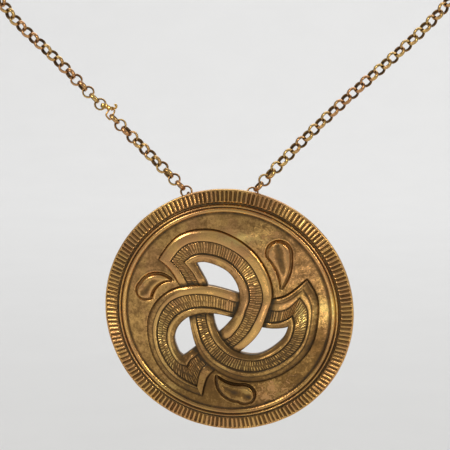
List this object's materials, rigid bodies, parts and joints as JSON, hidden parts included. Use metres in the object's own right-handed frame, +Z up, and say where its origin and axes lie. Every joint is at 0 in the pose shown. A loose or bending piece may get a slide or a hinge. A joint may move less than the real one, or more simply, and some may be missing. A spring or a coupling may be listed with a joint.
{
  "type": "necklace",
  "caption": "Bronze necklace: a round domed medallion with a pierced interlaced knot, swinging in two loops from a link chain with a wire hook clasp.",
  "frame": {"origin": "the nape, at the middle of the chain's highest link, where the chain rests on the back of the neck", "axes": "+Z up, +X to the wearer's left, -Y the way the medallion faces"},
  "size_m": [0.1556, 0.1158, 0.179],
  "materials": {
    "medallion_bronze": "worn cast bronze with dark patina in the recesses",
    "chain_bronze": "aged bronze links",
    "clasp_gilt": "brighter worn wire"
  },
  "bodies": {
    "chain": {"chain_main": "chain_bronze", "chain_lower": "chain_bronze", "clasp_hook": "clasp_gilt", "clasp_ring": "clasp_gilt"},
    "medallion": {"medallion": "medallion_bronze"}
  },
  "joints": [
    {"name": "medallion_swing", "type": "hinge", "parent": "chain", "child": "medallion", "pos_m": [0, -0.11, -0.106], "axis": [1, 0, 0], "range_deg": [-20, 90]}
  ]
}
